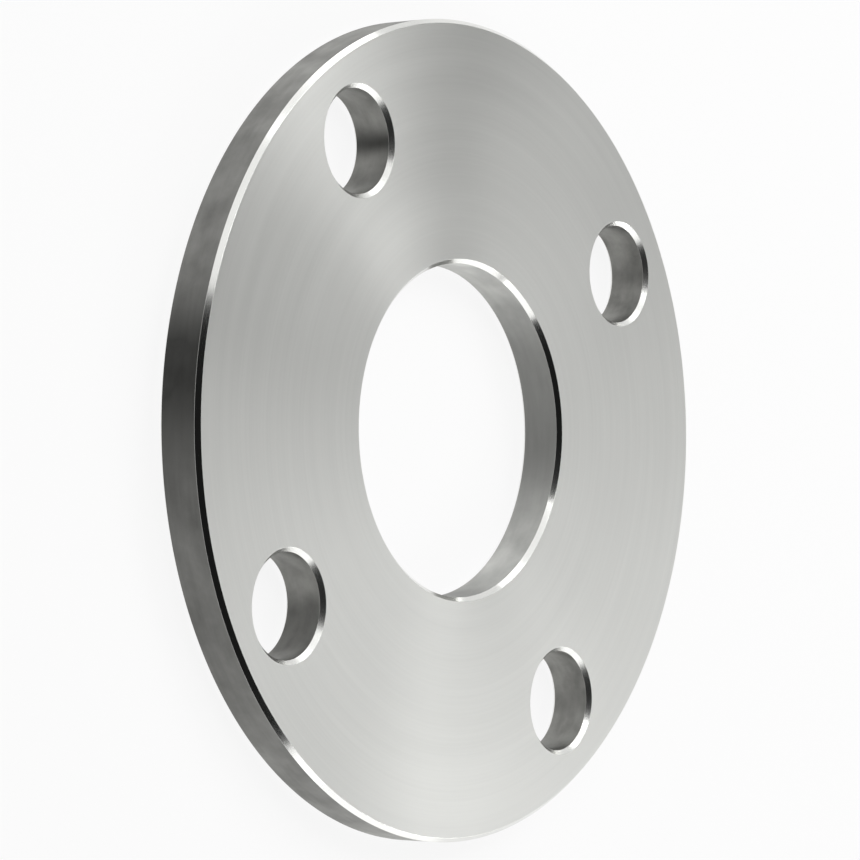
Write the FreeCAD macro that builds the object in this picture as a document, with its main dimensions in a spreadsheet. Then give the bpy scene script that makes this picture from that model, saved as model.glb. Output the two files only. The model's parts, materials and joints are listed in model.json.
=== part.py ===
import FreeCAD, Part

import os

import Sketcher

# Plate flange: one flat steel ring, turned from plate, with a plain bore and a circle of plain bolt
# holes. Millimetres and degrees. The back face lies on the XY plane, the bore runs along Z, and the
# front face looks up. The bolt holes straddle the X and Y axes, half a pitch to each side. The rim
# follows the bolt circle, so that the bolt holes always keep a whole land of metal outside them.

doc = FreeCAD.newDocument("PlateFlange")

# Driving dimensions: alias, value, what it measures
driving_dimensions = [
    ("plate_thickness", 9.0, "back face to front face"),
    ("bore_diameter", 62.0, "bore, which slips over a 60.3 pipe"),
    ("bolt_circle_diameter", 120.65, "circle through the bolt hole centres"),
    ("bolt_hole_diameter", 19.05, "bolt hole, for a 15.9 bolt"),
    ("bolt_hole_count", 4, "bolt holes, evenly spaced"),
    ("rim_land", 6.35, "metal left between each bolt hole and the rim"),
    ("rim_chamfer", 0.8, "edge break of the rim, both faces"),
    ("bore_chamfer", 0.8, "edge break of the bore, both faces"),
    ("bolt_hole_chamfer", 0.8, "edge break of the bolt holes, both faces"),
]

sizes = doc.addObject("Spreadsheet::Sheet", "Sizes")
for row, (alias, value, meaning) in enumerate(driving_dimensions, start=1):
    sizes.set(f"A{row}", meaning)
    sizes.set(f"B{row}", str(value))
    sizes.setAlias(f"B{row}", alias)
doc.recompute()

# What follows from the driving dimensions
outer_diameter = "Sizes.bolt_circle_diameter + Sizes.bolt_hole_diameter + 2 * Sizes.rim_land"
bolt_circle_radius = "Sizes.bolt_circle_diameter / 2"
bolt_hole_radius = "Sizes.bolt_hole_diameter / 2"
half_pitch = "180 deg / Sizes.bolt_hole_count"
full_turn = 360

# The flange is one piece
flange = doc.addObject("PartDesign::Body", "Flange")
flange.Label = "plate_flange"
flange.Placement = FreeCAD.Placement()

# How a sketch numbers its own origin point and horizontal axis, and the points of an edge
origin_point = (-1, 1)
horizontal_axis = -1
start, end, centre = 1, 2, 3


def number(expression):
    """The present value of an expression on the sheet."""
    return float(sizes.evalExpression(expression))


def origin_feature(role):
    """The plane or axis of the flange's own origin that has this role."""
    return next(feature for feature in flange.Origin.OriginFeatures if feature.Role == role)


def add_sketch(name, plane_role):
    """An empty sketch on one of the origin planes."""
    sketch = flange.newObject("Sketcher::SketchObject", name)
    sketch.AttachmentSupport = [(origin_feature(plane_role), "")]
    sketch.MapMode = "FlatFace"
    return sketch


def add_dimension(sketch, name, kind, references, expression):
    """A named dimension between edges or points of a sketch, driven by an expression."""
    constraint = Sketcher.Constraint(kind, *references, number(expression))
    sketch.renameConstraint(sketch.addConstraint(constraint), name)
    sketch.setExpression(f"Constraints.{name}", expression)


def add_centred_circle(sketch, name, diameter):
    """A circle about the sketch's origin, of the diameter that an expression gives."""
    up = FreeCAD.Vector(0, 0, 1)
    circle = sketch.addGeometry(Part.Circle(FreeCAD.Vector(), up, number(diameter) / 2))
    sketch.addConstraint(Sketcher.Constraint("Coincident", circle, centre, *origin_point))
    add_dimension(sketch, name, "Diameter", (circle,), diameter)


def add_closed_outline(sketch, corners):
    """Straight edges joined end to end through the corners and back to the first."""
    points = [FreeCAD.Vector(x, y, 0) for x, y in corners]
    next_points = points[1:] + points[:1]
    edges = [sketch.addGeometry(Part.LineSegment(a, b)) for a, b in zip(points, next_points)]
    for edge, next_edge in zip(edges, edges[1:] + edges[:1]):
        sketch.addConstraint(Sketcher.Constraint("Coincident", edge, end, next_edge, start))
    return edges


def add_chamfer(name, base, diameter, width):
    """Breaks the round edges of one diameter, on both faces."""
    match = 1e-6
    edges = [
        f"Edge{index}"
        for index, edge in enumerate(base.Shape.Edges, start=1)
        if isinstance(edge.Curve, Part.Circle) and abs(2 * edge.Curve.Radius - number(diameter)) < match
    ]
    chamfer = flange.newObject("PartDesign::Chamfer", name)
    chamfer.Base = (base, edges)
    chamfer.setExpression("Size", width)
    doc.recompute()
    return chamfer


# The turned ring: rim and bore, with their edges broken
ring_outline = add_sketch("RingOutline", "XY_Plane")
add_centred_circle(ring_outline, "rim_diameter", outer_diameter)
add_centred_circle(ring_outline, "bore_diameter", "Sizes.bore_diameter")

ring = flange.newObject("PartDesign::Pad", "Ring")
ring.Profile = ring_outline
ring.setExpression("Length", "Sizes.plate_thickness")
doc.recompute()

rim_chamfer = add_chamfer("RimChamfer", ring, outer_diameter, "Sizes.rim_chamfer")
bore_chamfer = add_chamfer("BoreChamfer", rim_chamfer, "Sizes.bore_diameter", "Sizes.bore_chamfer")

# One bolt hole, as the half section that a drill and two countersinks sweep out about its own axis.
# The section stands on a plane through the flange's axis, turned from X by half a pitch.
hole_section = add_sketch("BoltHoleSection", "XZ_Plane")
flange_axis = FreeCAD.Vector(0, 1, 0)
hole_section.AttachmentOffset = FreeCAD.Placement(FreeCAD.Vector(), FreeCAD.Rotation(flange_axis, 0))
hole_section.setExpression("AttachmentOffset.Rotation.Angle", half_pitch)

hole_axis_x = number(bolt_circle_radius)
wall_x = hole_axis_x + number(bolt_hole_radius)
mouth_x = wall_x + sizes.bolt_hole_chamfer
thickness = sizes.plate_thickness
back, back_chamfer, wall, front_chamfer, front, axis_side = add_closed_outline(
    hole_section,
    [
        (hole_axis_x, 0),
        (mouth_x, 0),
        (wall_x, sizes.bolt_hole_chamfer),
        (wall_x, thickness - sizes.bolt_hole_chamfer),
        (mouth_x, thickness),
        (hole_axis_x, thickness),
    ],
)
hole_section.addConstraint(Sketcher.Constraint("PointOnObject", back, start, horizontal_axis))
for direction, edges in (("Horizontal", (back, front)), ("Vertical", (wall, axis_side))):
    for edge in edges:
        hole_section.addConstraint(Sketcher.Constraint(direction, edge))

hole_dimensions = [
    ("bolt_circle_radius", "DistanceX", (*origin_point, back, start), bolt_circle_radius),
    ("wall_radius", "DistanceX", (back, start, wall, start), bolt_hole_radius),
    ("depth", "DistanceY", (back, start, front, start), "Sizes.plate_thickness"),
    ("back_width", "DistanceX", (back_chamfer, end, back_chamfer, start), "Sizes.bolt_hole_chamfer"),
    ("back_depth", "DistanceY", (back_chamfer, start, back_chamfer, end), "Sizes.bolt_hole_chamfer"),
    ("front_width", "DistanceX", (front_chamfer, start, front_chamfer, end), "Sizes.bolt_hole_chamfer"),
    ("front_depth", "DistanceY", (front_chamfer, start, front_chamfer, end), "Sizes.bolt_hole_chamfer"),
]
for name, kind, references, expression in hole_dimensions:
    add_dimension(hole_section, name, kind, references, expression)

# The hole's own axis is a construction line from the back face to the front face
axis_ends = FreeCAD.Vector(hole_axis_x, 0, 0), FreeCAD.Vector(hole_axis_x, thickness, 0)
hole_axis = hole_section.addGeometry(Part.LineSegment(*axis_ends), True)
hole_section.addConstraint(Sketcher.Constraint("Coincident", hole_axis, start, back, start))
hole_section.addConstraint(Sketcher.Constraint("Coincident", hole_axis, end, front, end))
doc.recompute()

bolt_hole = flange.newObject("PartDesign::Groove", "BoltHole")
bolt_hole.Profile = hole_section
bolt_hole.ReferenceAxis = (hole_section, ["Axis0"])
bolt_hole.Angle = full_turn
doc.recompute()

# The rest of the bolt holes, spaced evenly round the flange
bolt_holes = flange.newObject("PartDesign::PolarPattern", "BoltHoles")
bolt_holes.Originals = [bolt_hole]
bolt_holes.Axis = (origin_feature("Z_Axis"), [""])
bolt_holes.Angle = full_turn
bolt_holes.setExpression("Occurrences", "Sizes.bolt_hole_count")
flange.Tip = bolt_holes
doc.recompute()

# Nothing is written unless every feature worked, each cut removed metal and the flange is one solid
failed = [item.Label for item in doc.Objects if {"Invalid", "Error"} & set(item.State)]
if failed:
    raise RuntimeError(f"these did not compute: {', '.join(failed)}")
volumes = [feature.Shape.Volume for feature in (ring, rim_chamfer, bore_chamfer, bolt_hole, bolt_holes)]
if any(after >= before for before, after in zip(volumes, volumes[1:])):
    raise RuntimeError(f"a cut removed nothing, volumes {volumes}")
if flange.Shape.isNull() or not flange.Shape.isValid() or len(flange.Shape.Solids) != 1:
    raise RuntimeError("the flange is not one valid solid")

os.makedirs("parts", exist_ok=True)
flange.Shape.exportStep(f"parts/{flange.Label}.step")
print(f"{flange.Label}: {flange.Shape.Volume:.1f} mm3, box {flange.Shape.BoundBox}")
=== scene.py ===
import json
import math

import bpy
import numpy as np
from mathutils import Matrix, Vector


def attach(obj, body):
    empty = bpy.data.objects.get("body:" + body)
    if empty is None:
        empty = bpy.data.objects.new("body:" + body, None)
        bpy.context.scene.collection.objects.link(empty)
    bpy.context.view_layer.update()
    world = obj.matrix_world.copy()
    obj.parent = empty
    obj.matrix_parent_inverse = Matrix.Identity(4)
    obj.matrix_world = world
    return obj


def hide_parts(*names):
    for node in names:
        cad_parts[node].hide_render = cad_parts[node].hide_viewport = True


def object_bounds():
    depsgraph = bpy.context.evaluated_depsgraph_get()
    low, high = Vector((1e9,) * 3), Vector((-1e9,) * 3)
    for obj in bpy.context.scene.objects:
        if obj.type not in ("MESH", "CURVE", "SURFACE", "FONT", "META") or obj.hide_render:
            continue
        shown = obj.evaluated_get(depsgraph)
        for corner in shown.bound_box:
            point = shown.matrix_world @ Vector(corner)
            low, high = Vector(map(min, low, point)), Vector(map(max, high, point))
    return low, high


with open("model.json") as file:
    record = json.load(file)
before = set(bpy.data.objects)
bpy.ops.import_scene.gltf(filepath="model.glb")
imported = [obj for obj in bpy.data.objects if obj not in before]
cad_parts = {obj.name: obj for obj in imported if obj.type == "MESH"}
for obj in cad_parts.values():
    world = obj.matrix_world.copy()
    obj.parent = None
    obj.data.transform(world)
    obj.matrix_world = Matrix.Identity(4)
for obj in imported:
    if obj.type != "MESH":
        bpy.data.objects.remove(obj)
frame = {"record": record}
cadLow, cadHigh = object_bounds()
node = "plate_flange"
mounts = {mount["name"]: mount for mount in frame["record"]["mounts"]}
millimetre = 0.001
print("frame loaded, box", tuple(cadLow), tuple(cadHigh))

# The flange, as one skin. Its radii and thickness come from the frame. Lengths are in metres.
flangeShape = {
    "chamfer": 0.0008,  # edge break at 45 degrees, on every edge
    "edgeRadius": 0.00005,  # how far the chamfer's own two edges are rounded
    "arcSteps": 3,  # segments of each rounded edge
    "rimSteps": 72,  # segments of the rim, to one bolt hole
    "boreSteps": 40,  # segments of the bore, to one bolt hole
    "sideSteps": 24,  # segments of the line between two bolt holes, bore to rim
    "faceRows": 8,  # rows of the face between a bolt hole and its surroundings
}

# Painted shade: dark streaks down the walls that stand in for reflections of dark surroundings. The
# wall, the streak's angle round the wall's own axis, how wide it is in degrees, and how strong. Bolt
# holes are counted anticlockwise from +X.
paintedShadeStreaks = [
    ("rim", 185, 8, 0.95),
    ("rim", 196, 10, 0.45),
    ("bore", 6, 24, 0.62),
    ("bore", 40, 20, 0.42),
    ("bore", 284, 22, 0.6),
    ("bolt1", 15, 14, 0.4),
    ("bolt2", 17, 14, 0.9),
    ("bolt2", 335, 25, 0.3),
    ("bolt3", 340, 40, 0.5),
    ("bolt3", 5, 18, 0.2),
    ("bolt4", 8, 16, 0.3),
    ("bolt4", 288, 18, 0.35),
]


def paintedShadeStrength(wall, angles):
    # A bell for each painted-shade streak: strength x exp(-(angle off its middle / width) squared),
    # added up
    strength = np.zeros_like(angles)
    for name, middle, width, most in paintedShadeStreaks:
        if name == wall:
            off = (np.degrees(angles) - middle + 180) % 360 - 180
            strength += most * np.exp(-((off / width) ** 2))
    return strength


def edgeProfile(thickness, chamfer, radius, steps):
    # The section of one wall, from the back face to the front face: four corners of 45 degrees, each
    # rounded by an arc. A point is (inset, height), a normal is (towards the metal, up).
    # At share s of an arc, heading = the heading before the corner - 45 degrees x s, outward is a
    # quarter turn left of it, and the point is the arc's centre + radius x outward.
    corners = np.array([[chamfer, 0], [0, chamfer], [0, thickness - chamfer], [chamfer, thickness]])
    headings = np.radians([180, 135, 90, 45])
    cornerTurn = math.pi / 4
    tangent = radius * math.tan(cornerTurn / 2)  # from an arc's start to its corner
    share = np.linspace(0, 1, steps + 1)
    heading = headings[:, None] - cornerTurn * share[None, :]
    starts = corners - tangent * np.stack([np.cos(headings), np.sin(headings)], -1)
    outward = np.stack([-np.sin(heading), np.cos(heading)], -1)
    centres = starts - radius * outward[:, 0]
    points = centres[:, None] + radius * outward
    return points.reshape(-1, 2), outward.reshape(-1, 2)


def revolvedWall(profile, normals, centre, wallRadius, side, angles):
    # The profile carried round a circle. Metal lies inside the wall (side 1) or outside it (side -1):
    # radius = wall radius - side x inset, and the point is centre + radius x (cos angle, sin angle).
    inset, height = profile.T
    radius = wallRadius - side * inset
    across = np.stack([np.cos(angles), np.sin(angles)], -1)
    flat = centre + radius[None, :, None] * across[:, None, :]
    points = np.concatenate([flat, np.broadcast_to(height[None, :, None], flat.shape[:2] + (1,))], -1)
    level = -side * normals[:, 0]
    turned = level[None, :, None] * across[:, None, :]
    rise = np.broadcast_to(normals[None, :, 1, None], turned.shape[:2] + (1,))
    return points, np.concatenate([turned, rise], -1)


def facePatch(hole, outline, ringRadius, height, up, rows):
    # The flat face from a bolt hole out to the outline of its quarter: row s of the grid lies at the
    # share s of the straight way from the hole's ring to the outline, seen from the hole's centre.
    away = outline - hole
    ring = hole + ringRadius * away / np.linalg.norm(away, axis=-1, keepdims=True)
    share = np.linspace(0, 1, rows + 1)[:, None, None]
    flat = (1 - share) * ring[None] + share * outline[None]
    level = np.full(flat.shape[:2] + (1,), height)
    return np.concatenate([flat, level], -1), np.broadcast_to([0.0, 0.0, up], flat.shape[:2] + (3,))


def quarterOutline(middle, halfTurn, inner, outer, steps):
    # Round a quarter of the face, anticlockwise: out along one side, back along the rim, in along the
    # other side, and back along the bore. Corners are counted once.
    sideSteps, rimSteps, boreSteps = steps
    radii = np.linspace(inner, outer, sideSteps + 1)[:-1]
    rim = np.linspace(-halfTurn, halfTurn, rimSteps + 1)[:-1]
    bore = np.linspace(halfTurn, -halfTurn, boreSteps + 1)[:-1]
    radius = np.concatenate([radii, np.full(rimSteps, outer), radii[::-1] + (radii[1] - radii[0])])
    radius = np.concatenate([radius, np.full(boreSteps, inner)])
    angle = np.concatenate([np.full(sideSteps, -halfTurn), rim, np.full(sideSteps, halfTurn), bore])
    return radius[:, None] * np.stack([np.cos(middle + angle), np.sin(middle + angle)], -1)


def gridFaces(rows, columns, first, flip):
    # Quads of a grid whose columns close on themselves, as corner numbers
    here = first + np.arange(rows - 1)[:, None] * columns + np.arange(columns)[None, :]
    beside = first + np.arange(rows - 1)[:, None] * columns + (np.arange(columns)[None, :] + 1) % columns
    quads = np.stack([here, beside, beside + columns, here + columns], -1).reshape(-1, 4)
    return quads[:, ::-1] if flip else quads


def joinGrids(grids):
    # All grids as one list of points, with a normal and a strength of painted shade for each point, and
    # one list of quads, with a material slot for each quad
    points, normals, paintedShadeStrengths, quads, slots = [], [], [], [], []
    total = 0
    for grid, gridNormals, gridPaintedShade, flip, rowSlots in grids:
        rows, columns = grid.shape[:2]
        points.append(grid.reshape(-1, 3))
        normals.append(gridNormals.reshape(-1, 3))
        paintedShadeStrengths.append(np.broadcast_to(gridPaintedShade, (rows, columns)).reshape(-1))
        quads.append(gridFaces(rows, columns, total, flip))
        slots.append(np.repeat(rowSlots, columns))
        total += rows * columns
    return [np.concatenate(parts) for parts in (points, normals, paintedShadeStrengths, quads, slots)]


def weld(points, quads):
    # One vertex for each place: points that fall in the same cell of a fine grid are joined
    cell = 1e-7
    shift = 0.37  # keeps round coordinates off the lines between cells
    cells = np.floor(points / cell + shift).astype(np.int64)
    _, first, joined = np.unique(cells, axis=0, return_index=True, return_inverse=True)
    return first, joined.reshape(-1)[quads]


def buildFlange(shape, materials):
    bore, bolts = mounts["bore"]["dims"], mounts["bolt_holes"]["dims"]
    boreRadius, boltRadius = bore["r_mm"] * millimetre, bolts["hole_r_mm"] * millimetre
    circleRadius, count = bolts["pcd_mm"] / 2 * millimetre, bolts["count"]
    rimRadius, thickness = cadHigh.x, cadHigh.z
    profile, profileNormals = edgeProfile(
        thickness, shape["chamfer"], shape["edgeRadius"], shape["arcSteps"]
    )
    faceInset = profile[0, 0]  # where the flat face begins, from the wall
    halfTurn = math.pi / count  # from a bolt hole's middle to the edge of its part of the face
    middles = halfTurn + 2 * halfTurn * np.arange(count)
    holes = circleRadius * np.stack([np.cos(middles), np.sin(middles)], -1)
    outlines = [
        quarterOutline(
            middle, halfTurn, boreRadius + faceInset, rimRadius - faceInset,
            (shape["sideSteps"], shape["rimSteps"], shape["boreSteps"]),
        )
        for middle in middles
    ]
    centre = np.zeros(2)
    rimAngles = np.arange(count * shape["rimSteps"]) * 2 * halfTurn / shape["rimSteps"]
    boreAngles = np.arange(count * shape["boreSteps"]) * 2 * halfTurn / shape["boreSteps"]
    walls = [(centre, rimRadius, 1, rimAngles, "rim"), (centre, boreRadius, -1, boreAngles, "bore")]
    for number, (hole, outline) in enumerate(zip(holes, outlines), start=1):
        away = outline - hole
        walls.append((hole, boltRadius, -1, np.arctan2(away[:, 1], away[:, 0]), f"bolt{number}"))

    grids = []
    wallStrip = 2 * shape["arcSteps"] + 1  # the upright strip of the section, between its chamfers
    for wallCentre, wallRadius, side, angles, name in walls:
        grid, gridNormals = revolvedWall(
            profile, profileNormals, wallCentre, wallRadius, side, angles
        )
        isBolt = name.startswith("bolt")
        strips = np.full(len(profile) - 1, materials.index("boltEdge" if isBolt else "edge"))
        strips[wallStrip] = materials.index("bolt" if isBolt else name)
        # Painted shade down this wall, standing in for a reflection of dark surroundings
        paintedShade = paintedShadeStrength(name, angles)
        grids.append((grid.swapaxes(0, 1), gridNormals.swapaxes(0, 1), paintedShade, side < 0, strips))
    faceSlot = np.full(shape["faceRows"], materials.index("face"))
    for hole, outline in zip(holes, outlines):
        for height, up in ((0.0, -1.0), (thickness, 1.0)):
            grid, gridNormals = facePatch(
                hole, outline, boltRadius + faceInset, height, up, shape["faceRows"]
            )
            grids.append((grid, gridNormals, 0.0, up > 0, faceSlot))

    points, normals, paintedShadeStrengths, quads, slots = joinGrids(grids)
    first, quads = weld(points, quads)
    mesh = bpy.data.meshes.new("flange")
    mesh.from_pydata(points[first], [], quads)
    mesh.polygons.foreach_set("material_index", slots)
    mesh.shade_smooth()
    mesh.normals_split_custom_set_from_vertices(normals[first])
    # Each point's strength of painted shade, for the steel's shader
    paintedShade = mesh.attributes.new("paintedShade", "FLOAT", "POINT")
    paintedShade.data.foreach_set("value", paintedShadeStrengths[first])
    mesh.update()
    piece = bpy.data.objects.new("flange", mesh)
    bpy.context.scene.collection.objects.link(piece)
    return piece


class Shade:
    # One output of a node tree. The operators add Math nodes, so shader maths reads as maths.
    def __init__(self, tree, output=None):
        self.tree, self.output = tree, output

    def make(self, kind, settings, inputs, output=0):
        # Any node: its settings first, then its sockets' values or links
        made = self.tree.nodes.new(kind)
        for name, value in settings.items():
            setattr(made, name, value)
        for key, value in inputs.items():
            if isinstance(value, Shade):
                self.tree.links.new(value.output, made.inputs[key])
            else:
                made.inputs[key].default_value = value
        return Shade(self.tree, made.outputs[output]) if made.outputs else None

    def another(self, output):
        # Another output of the same node
        return Shade(self.tree, self.output.node.outputs[output])

    def maths(self, operation, *values):
        # A Math node on outputs or numbers, in the order of its sockets
        return self.make("ShaderNodeMath", {"operation": operation}, dict(enumerate(values)))

    def scaled(self, factor):
        # This colour or vector times a number
        return self.make("ShaderNodeVectorMath", {"operation": "SCALE"}, {0: self, "Scale": factor})

    def blend(self, first, second):
        # From the first colour to the second, as this output goes from 0 to 1. The Mix node has its
        # colours at inputs 6 and 7 and at output 2.
        return self.make("ShaderNodeMix", {"data_type": "RGBA"}, {0: self, 6: first, 7: second}, 2)

    def __add__(self, other):
        return self.maths("ADD", self, other)

    def __sub__(self, other):
        return self.maths("SUBTRACT", self, other)

    def __rsub__(self, other):
        return self.maths("SUBTRACT", other, self)

    def __mul__(self, other):
        return self.maths("MULTIPLY", self, other)

    def __truediv__(self, other):
        return self.maths("DIVIDE", self, other)

    def __rtruediv__(self, other):
        return self.maths("DIVIDE", other, self)

    __radd__, __rmul__ = __add__, __mul__


def newMaterial(name):
    material = bpy.data.materials.new(name)
    material.use_nodes = True
    material.node_tree.nodes.clear()
    return material, Shade(material.node_tree)


def finishMaterial(shade, surface):
    shade.make("ShaderNodeOutputMaterial", {}, {"Surface": surface})


# Bare steel as each tool leaves it, lengths in metres. Every finish has the values that the face has.
finishes = {
    "face": {
        "dark": (0.652, 0.657, 0.635),  # the two colours that the metal varies between
        "light": (0.74, 0.745, 0.72),
        "roughness": 0.3,  # its mean
        "roughnessChange": 0.025,  # the most that it varies, up or down
        "spread": 0.8,  # how much wider highlights are across the marks, from 0 to 1
        "across": "radius",  # marks follow each other by distance from the axis, or else by height
        "pitch": 0.0005,  # from one mark to the next
        "length": 0.05,  # of a mark
        "depth": 0.000002,  # of a mark
        "patch": 0.035,  # size of the patches of another tone
        "patchDetail": 1.0,  # how ragged the patches are
        "patchShare": 0.5,  # of the patches in the tone, and the marks have the rest
        "paintedShadeTone": 1.0,  # the share of its tone that the metal keeps under a streak of painted shade
    },
    "rim": {
        "dark": (0.165, 0.165, 0.157), "light": (0.35, 0.35, 0.335),
        "roughness": 0.5, "roughnessChange": 0.1, "spread": 0.9,
        "across": "height", "pitch": 0.0012, "length": 0.01, "depth": 0.00001,
        "patch": 0.006, "patchDetail": 6.0, "patchShare": 0.65, "paintedShadeTone": 0.25,
    },
    "bore": {
        "dark": (0.36, 0.362, 0.349), "light": (0.62, 0.624, 0.6),
        "roughness": 0.45, "roughnessChange": 0.1, "spread": 0.9,
        "across": "height", "pitch": 0.0012, "length": 0.008, "depth": 0.000006,
        "patch": 0.006, "patchDetail": 6.0, "patchShare": 0.65, "paintedShadeTone": 0.3,
    },
    "bolt": {
        "dark": (0.15, 0.15, 0.142), "light": (0.41, 0.41, 0.388),
        "roughness": 0.42, "roughnessChange": 0.1, "spread": 0.8,
        "across": "height", "pitch": 0.0012, "length": 0.004, "depth": 0.000008,
        "patch": 0.005, "patchDetail": 6.0, "patchShare": 0.7, "paintedShadeTone": 0.2,
    },
    "edge": {
        "dark": (0.74, 0.743, 0.719), "light": (0.8, 0.803, 0.78),
        "roughness": 0.13, "roughnessChange": 0.02, "spread": 0.0,
        "across": "height", "pitch": 0.0003, "length": 0.004, "depth": 0.000001,
        "patch": 0.01, "patchDetail": 1.0, "patchShare": 0.4, "paintedShadeTone": 1.0,
    },
}
# The bolt holes' chamfers are as those of the rim and bore, but duller
finishes["boltEdge"] = {**finishes["edge"], "roughness": 0.26, "roughnessChange": 0.04}

# What the marks of all finishes share
marks = {
    "pattern": 0.0,  # any other number gives other marks and patches
    "fineDetail": 2.0,  # how ragged the fine marks are
    "broadDetail": 1.0,  # how ragged the broad marks are
    "broadPitch": 5,  # pitch of the broad marks, in pitches of the fine ones
    "darkNoise": 0.3,  # noise that gives the dark colour
    "lightNoise": 0.7,  # noise that gives the light one
    "paintedShadeLeast": 0.6,  # share of a painted-shade streak's strength where the patches' noise is 0
    "paintedShadeGain": 0.8,  # what is added to that share where it is 1
    "spreadTurn": 0.25,  # highlights spread a quarter turn away from the way round the axis
}


def steelMaterial(name, finish):
    # The marks are noise that is narrow across them and drawn out along them. Broader patches of the
    # same noise, even in all directions, change the tone and the shine from place to place.
    material, shade = newMaterial(name)
    place = shade.make("ShaderNodeTexCoord", {}, {}, "Object")
    x = shade.make("ShaderNodeSeparateXYZ", {}, {"Vector": place}, "X")
    y, z = x.another("Y"), x.another("Z")
    across = shade.maths("SQRT", x * x + y * y) if finish["across"] == "radius" else z

    def noise(vector, detail):
        return shade.make(
            "ShaderNodeTexNoise", {"noise_dimensions": "4D"},
            {"Vector": vector, "W": marks["pattern"], "Scale": 1.0, "Detail": detail},
        )

    def stretched(pitch, length):
        return shade.make(
            "ShaderNodeCombineXYZ", {}, {"X": x / length, "Y": y / length, "Z": across / pitch}
        )

    fine = noise(stretched(finish["pitch"], finish["length"]), marks["fineDetail"])
    broadPitch = finish["pitch"] * marks["broadPitch"]
    broad = noise(stretched(broadPitch, finish["length"]), marks["broadDetail"])
    patches = noise(place.scaled(1 / finish["patch"]), finish["patchDetail"])
    markShare = (1 - finish["patchShare"]) / 2  # of the fine marks in the tone, and of the broad ones
    tone = (fine + broad) * markShare + patches * finish["patchShare"]
    lightness = shade.make(
        "ShaderNodeMapRange", {},
        {"Value": tone, "From Min": marks["darkNoise"], "From Max": marks["lightNoise"]},
    )
    colour = lightness.blend((*finish["dark"], 1), (*finish["light"], 1))
    # Painted shade: the colour darkens along the streaks, in place of reflections of dark surroundings
    if finish["paintedShadeTone"] < 1:
        paintedShade = shade.make("ShaderNodeAttribute", {"attribute_name": "paintedShade"}, {}, "Fac")
        raggedPaintedShade = paintedShade * (patches * marks["paintedShadeGain"] + marks["paintedShadeLeast"])
        colour = raggedPaintedShade.blend(colour, colour.scaled(finish["paintedShadeTone"]))
    # Noise has a mean of a half, so the two less 1 vary about 0
    roughness = (broad + patches - 1.0) * finish["roughnessChange"] + finish["roughness"]
    normal = shade.make(
        "ShaderNodeBump", {}, {"Height": fine, "Distance": finish["depth"], "Strength": 1.0}
    )
    surface = shade.make(
        "ShaderNodeBsdfPrincipled",
        {},
        {
            "Base Color": colour,
            "Metallic": 1.0,
            "Roughness": roughness,
            "Anisotropic": finish["spread"],
            "Anisotropic Rotation": marks["spreadTurn"],
            "Normal": normal,
        },
    )
    finishMaterial(shade, surface)
    return material


# The studio: a pale floor that curves up far away, a faint world and soft lamps. Lengths in metres.
studio = {
    "floorRadius": 1.6,  # of the flat part
    "floorRise": 1.0,  # radius of the curve round it
    "floorHub": 0.02,  # radius of the innermost ring of faces
    "floorSteps": 24,  # segments up the curve
    "floorSides": 96,  # segments round the floor
    "floorGap": 0.00002,  # below the flange's back face
    "floorColour": (0.9, 0.9, 0.9),
    "floorGlow": 0.88,  # the share of plain white in what is seen of the floor
    "world": 0.01,  # strength of its white light
    "lampDistance": 1.2,  # from the centre of the flange's back face, at which all lamps aim
}
white = (1, 1, 1, 1)


def floorMaterial(colour, glow):
    # Pale and matt to the lamps. The camera and the steel's reflections see part of it as plain white.
    material, shade = newMaterial("paleFloor")
    matt = shade.make("ShaderNodeBsdfDiffuse", {}, {"Color": (*colour, 1)})
    plain = shade.make("ShaderNodeEmission", {}, {"Color": white, "Strength": 1.0})
    camera = shade.make("ShaderNodeLightPath", {}, {}, "Is Camera Ray")
    rays = camera + camera.another("Is Glossy Ray") + camera.another("Is Transmission Ray")
    seen = shade.maths("MINIMUM", rays, 1.0) * glow
    finishMaterial(shade, shade.make("ShaderNodeMixShader", {}, {0: seen, 1: matt, 2: plain}))
    return material


def buildFloor(values):
    # A dish: flat out to the floor's radius, then a quarter of a circle upwards, carried round.
    # At angle b of the curve, radius = floor radius + rise x sin b, and height = rise x (1 - cos b).
    bend = np.linspace(0, math.pi / 2, values["floorSteps"] + 1)
    curve = values["floorRadius"] + values["floorRise"] * np.sin(bend)
    radius = np.concatenate([[values["floorHub"]], curve])
    height = np.concatenate([[0.0], values["floorRise"] * (1 - np.cos(bend))])
    angles = np.linspace(0, 2 * math.pi, values["floorSides"], endpoint=False)
    around = np.stack([np.cos(angles), np.sin(angles)], -1)
    flat = radius[:, None, None] * around[None]
    level = np.broadcast_to(height[:, None, None] - values["floorGap"], flat.shape[:2] + (1,))
    points = np.concatenate([flat, level], -1).reshape(-1, 3)
    quads = gridFaces(len(radius), len(angles), 0, True)
    hub = len(points)
    points = np.concatenate([points, [[0, 0, -values["floorGap"]]]])
    corner = np.arange(len(angles))
    centreFaces = np.stack([corner, (corner + 1) % len(angles), np.full_like(corner, hub)], -1)
    mesh = bpy.data.meshes.new("floor")
    mesh.from_pydata(points, [], quads.tolist() + centreFaces.tolist())
    mesh.shade_smooth()
    mesh.materials.append(floorMaterial(values["floorColour"], values["floorGlow"]))
    floor = bpy.data.objects.new("floor", mesh)
    bpy.context.scene.collection.objects.link(floor)


def buildWorld(strength):
    world = bpy.context.scene.world or bpy.data.worlds.new("studio")
    bpy.context.scene.world = world
    world.use_nodes = True
    background = world.node_tree.nodes["Background"]
    background.inputs["Color"].default_value = white
    background.inputs["Strength"].default_value = strength


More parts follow.
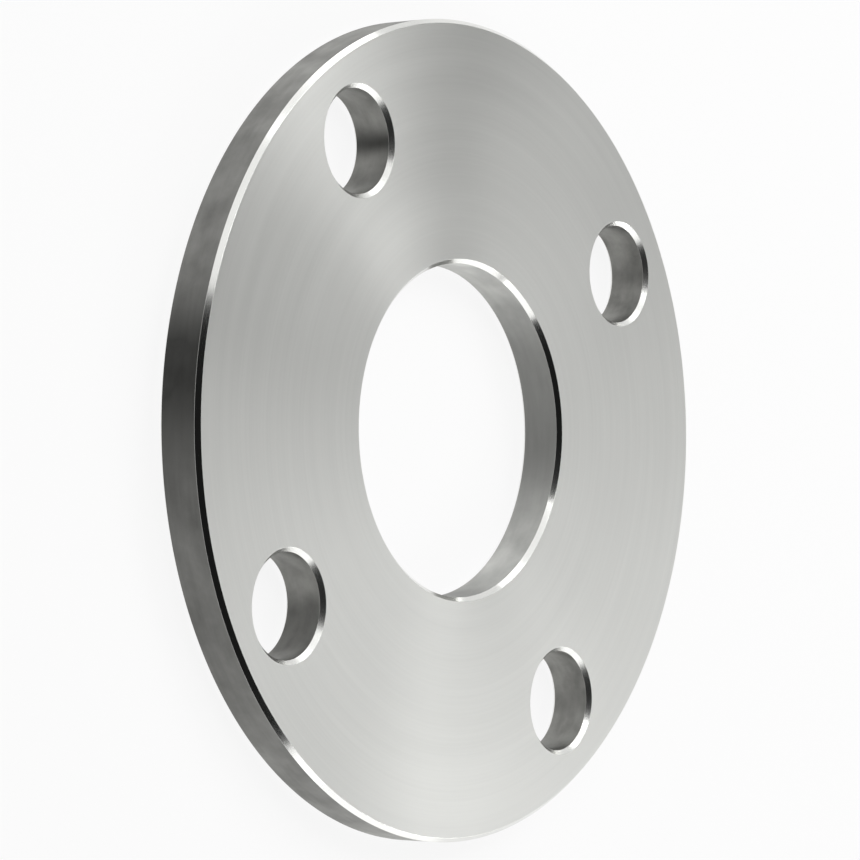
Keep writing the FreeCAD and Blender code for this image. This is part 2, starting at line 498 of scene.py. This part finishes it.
# Soft lamps round the flange: azimuth from +X and elevation in degrees, width and height in metres,
# power in watts
lamps = {
    "overhead": (90, 72, 0.6, 0.6, 1.55),
    "overheadRight": (-40, 72, 0.6, 0.6, 0.95),
    "leftCard": (114, 40, 1.65, 0.5, 2.75),
    "leftSide": (60, 42, 0.35, 0.5, 1.6),
    "leftBright": (75, 42, 0.35, 0.5, 1.6),
    "leftUp": (60, 58, 0.4, 0.4, 0.62),
    "leftHigh": (120, 60, 0.4, 0.4, 2.3),
    "leftLow": (95, 20, 0.9, 0.45, 1.4),
    "rightCard": (-45, 14, 1.6, 0.6, 1.31),
    "rightBright": (-28, 28, 0.35, 0.35, 2.3),
    "rightSide": (-44, 35, 0.35, 0.5, 0.35),
    "rightFar": (-64, 38, 0.5, 0.72, 1.5),
    "behindRight": (-12, 26, 0.35, 0.35, 0.68),
    "behind": (6, 26, 0.35, 0.35, 0.31),
    "behindHigh": (6, 44, 0.35, 0.35, 0.48),
    "behindLeft": (24, 26, 0.35, 0.35, 0.27),
    "behindFar": (42, 44, 0.35, 0.35, 0.42),
}


def buildLamp(name, distance, azimuth, elevation, width, height, power):
    light = bpy.data.lights.new(name, "AREA")
    light.shape, light.size, light.size_y, light.energy = "RECTANGLE", width, height, power
    lamp = bpy.data.objects.new(name, light)
    bpy.context.scene.collection.objects.link(lamp)
    level, up = math.radians(azimuth), math.radians(elevation)
    towards = Vector((math.cos(level) * math.cos(up), math.sin(level) * math.cos(up), math.sin(up)))
    lamp.location = towards * distance
    lamp.rotation_euler = towards.to_track_quat("Z", "Y").to_euler()
    lamp.visible_camera = False


# The camera stands where the picture's own perspective puts it. Lengths in metres, angles in degrees.
cameraPlace = {
    "aim": (-0.01024, -0.00258, 0.009),  # level with the front face, near the bore's axis
    "azimuth": -75.143,  # anticlockwise from -Y
    "elevation": 36.854,
    "distance": 0.7019,
    "turn": 89.216,  # the flange lies down here, and stands on its rim in the picture
    "lens": 160.24,  # in millimetres
}


def buildCamera(values):
    azimuth, elevation = math.radians(values["azimuth"]), math.radians(values["elevation"])
    back = Vector((
        math.sin(azimuth) * math.cos(elevation), -math.cos(azimuth) * math.cos(elevation),
        math.sin(elevation),
    ))
    camera = bpy.data.objects.new("camera", bpy.data.cameras.new("camera"))
    upright = (-back).to_track_quat("-Z", "Y").to_matrix()
    turned = upright @ Matrix.Rotation(math.radians(values["turn"]), 3, "Z")
    camera.matrix_world = (
        Matrix.Translation(Vector(values["aim"]) + back * values["distance"]) @ turned.to_4x4()
    )
    camera.data.lens = values["lens"]
    bpy.context.scene.collection.objects.link(camera)
    bpy.context.scene.camera = camera


order = list(finishes)
flange = buildFlange(flangeShape, order)
for key in order:
    flange.data.materials.append(steelMaterial(key + "Steel", finishes[key]))
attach(flange, "root")
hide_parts(node)
print("flange built,", len(flange.data.polygons), "faces")

buildFloor(studio)
for name, values in lamps.items():
    buildLamp(name, studio["lampDistance"], *values)
buildWorld(studio["world"])
buildCamera(cameraPlace)
bpy.context.scene.view_settings.view_transform = "Standard"
print("studio set")
